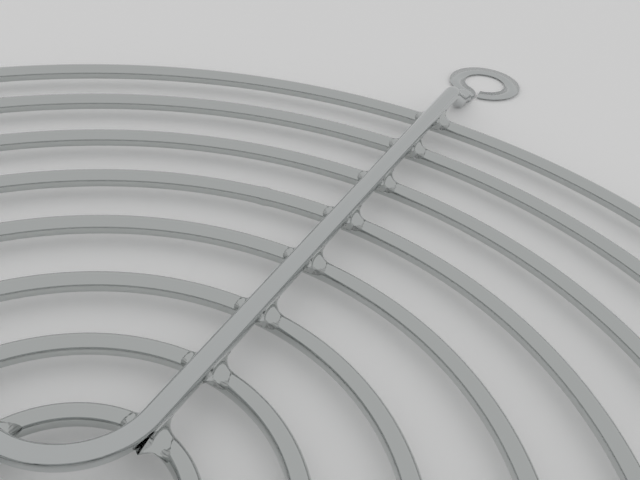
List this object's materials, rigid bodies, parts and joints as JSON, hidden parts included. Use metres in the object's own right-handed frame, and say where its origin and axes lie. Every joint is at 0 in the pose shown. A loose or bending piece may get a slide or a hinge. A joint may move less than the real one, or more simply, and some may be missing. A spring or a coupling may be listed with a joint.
{
  "type": "wire finger guard for an axial fan",
  "caption": "Round chrome wire guard of concentric rings welded to two V-shaped support wires whose flattened ends are rolled into screw eyes.",
  "frame": {"origin": "on the guard's axis, in the plane where the screw eyes sit on the fan", "axes": "+Z away from the fan; the screw eyes lie on the diagonals of X and Y, and the two V-shaped support wires open towards +Y and -Y"},
  "size_m": [0.1176, 0.1176, 0.004],
  "materials": {
    "ring_chrome": "polished",
    "support_chrome": "polished"
  },
  "bodies": {
    "root": {"ring_1": "ring_chrome", "ring_2": "ring_chrome", "ring_3": "ring_chrome", "ring_4": "ring_chrome", "ring_5": "ring_chrome", "ring_6": "ring_chrome", "ring_7": "ring_chrome", "ring_8": "ring_chrome", "support_wire_1": "support_chrome", "support_wire_2": "support_chrome"}
  },
  "joints": []
}
